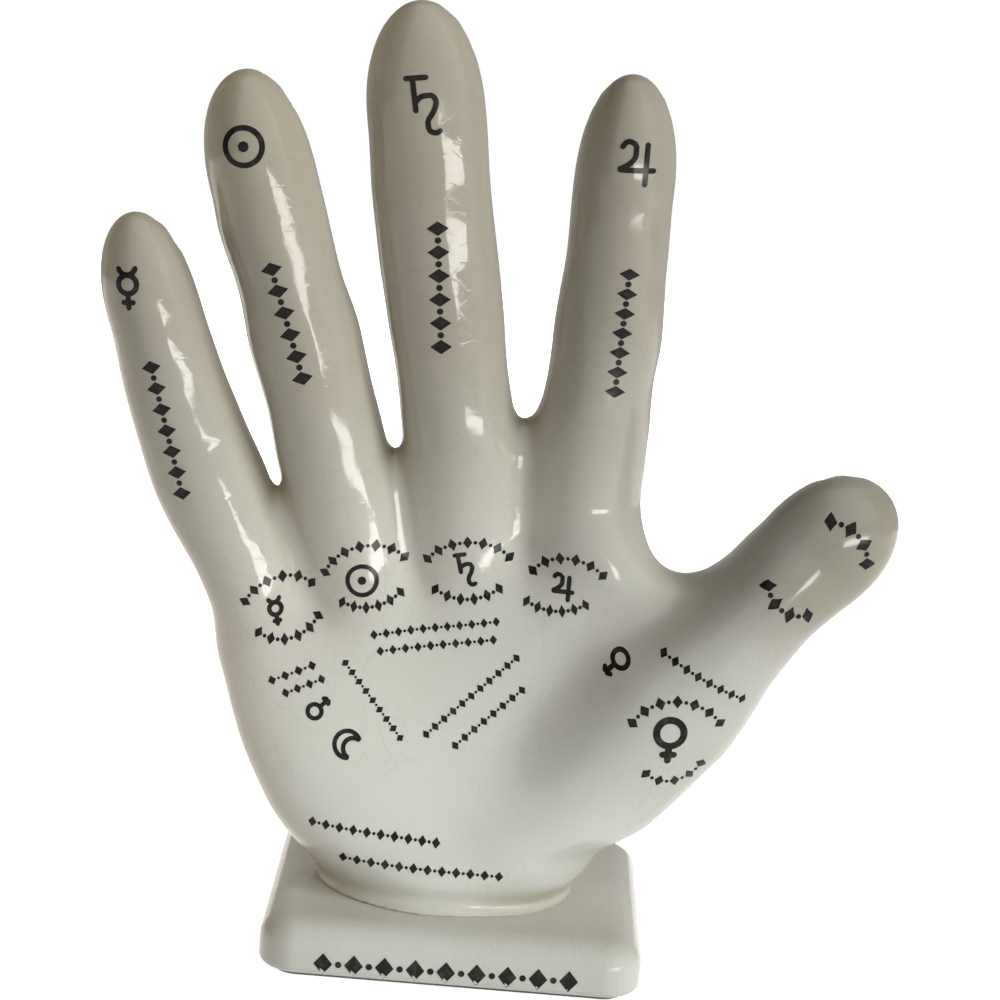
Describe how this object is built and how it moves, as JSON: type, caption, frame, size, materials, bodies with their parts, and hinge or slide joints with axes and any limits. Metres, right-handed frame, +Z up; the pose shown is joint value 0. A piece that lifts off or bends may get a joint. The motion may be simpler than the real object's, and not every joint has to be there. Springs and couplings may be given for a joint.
{
  "type": "ceramic hand sculpture",
  "caption": "Glazed ceramic hand with spread fingers, palm to the front, standing on a low rounded plinth, printed with traditional planetary signs; a table ornament.",
  "frame": {"origin": "middle of the plinth's footprint, on the underside of the baize, where it meets the table", "axes": "+Z up towards the fingertips; -Y is the way the palm faces; +X is the side of the thumb"},
  "size_m": [0.1868, 0.078, 0.2201],
  "materials": {
    "ivory_glaze": "glossy crackle glaze",
    "fired_slip": "matt fired clay",
    "baize": "felted wool"
  },
  "bodies": {
    "root": {"hand_casting": "ivory_glaze", "plinth_casting": "ivory_glaze", "slip_joint": "fired_slip", "baize_pad": "baize"}
  },
  "joints": []
}
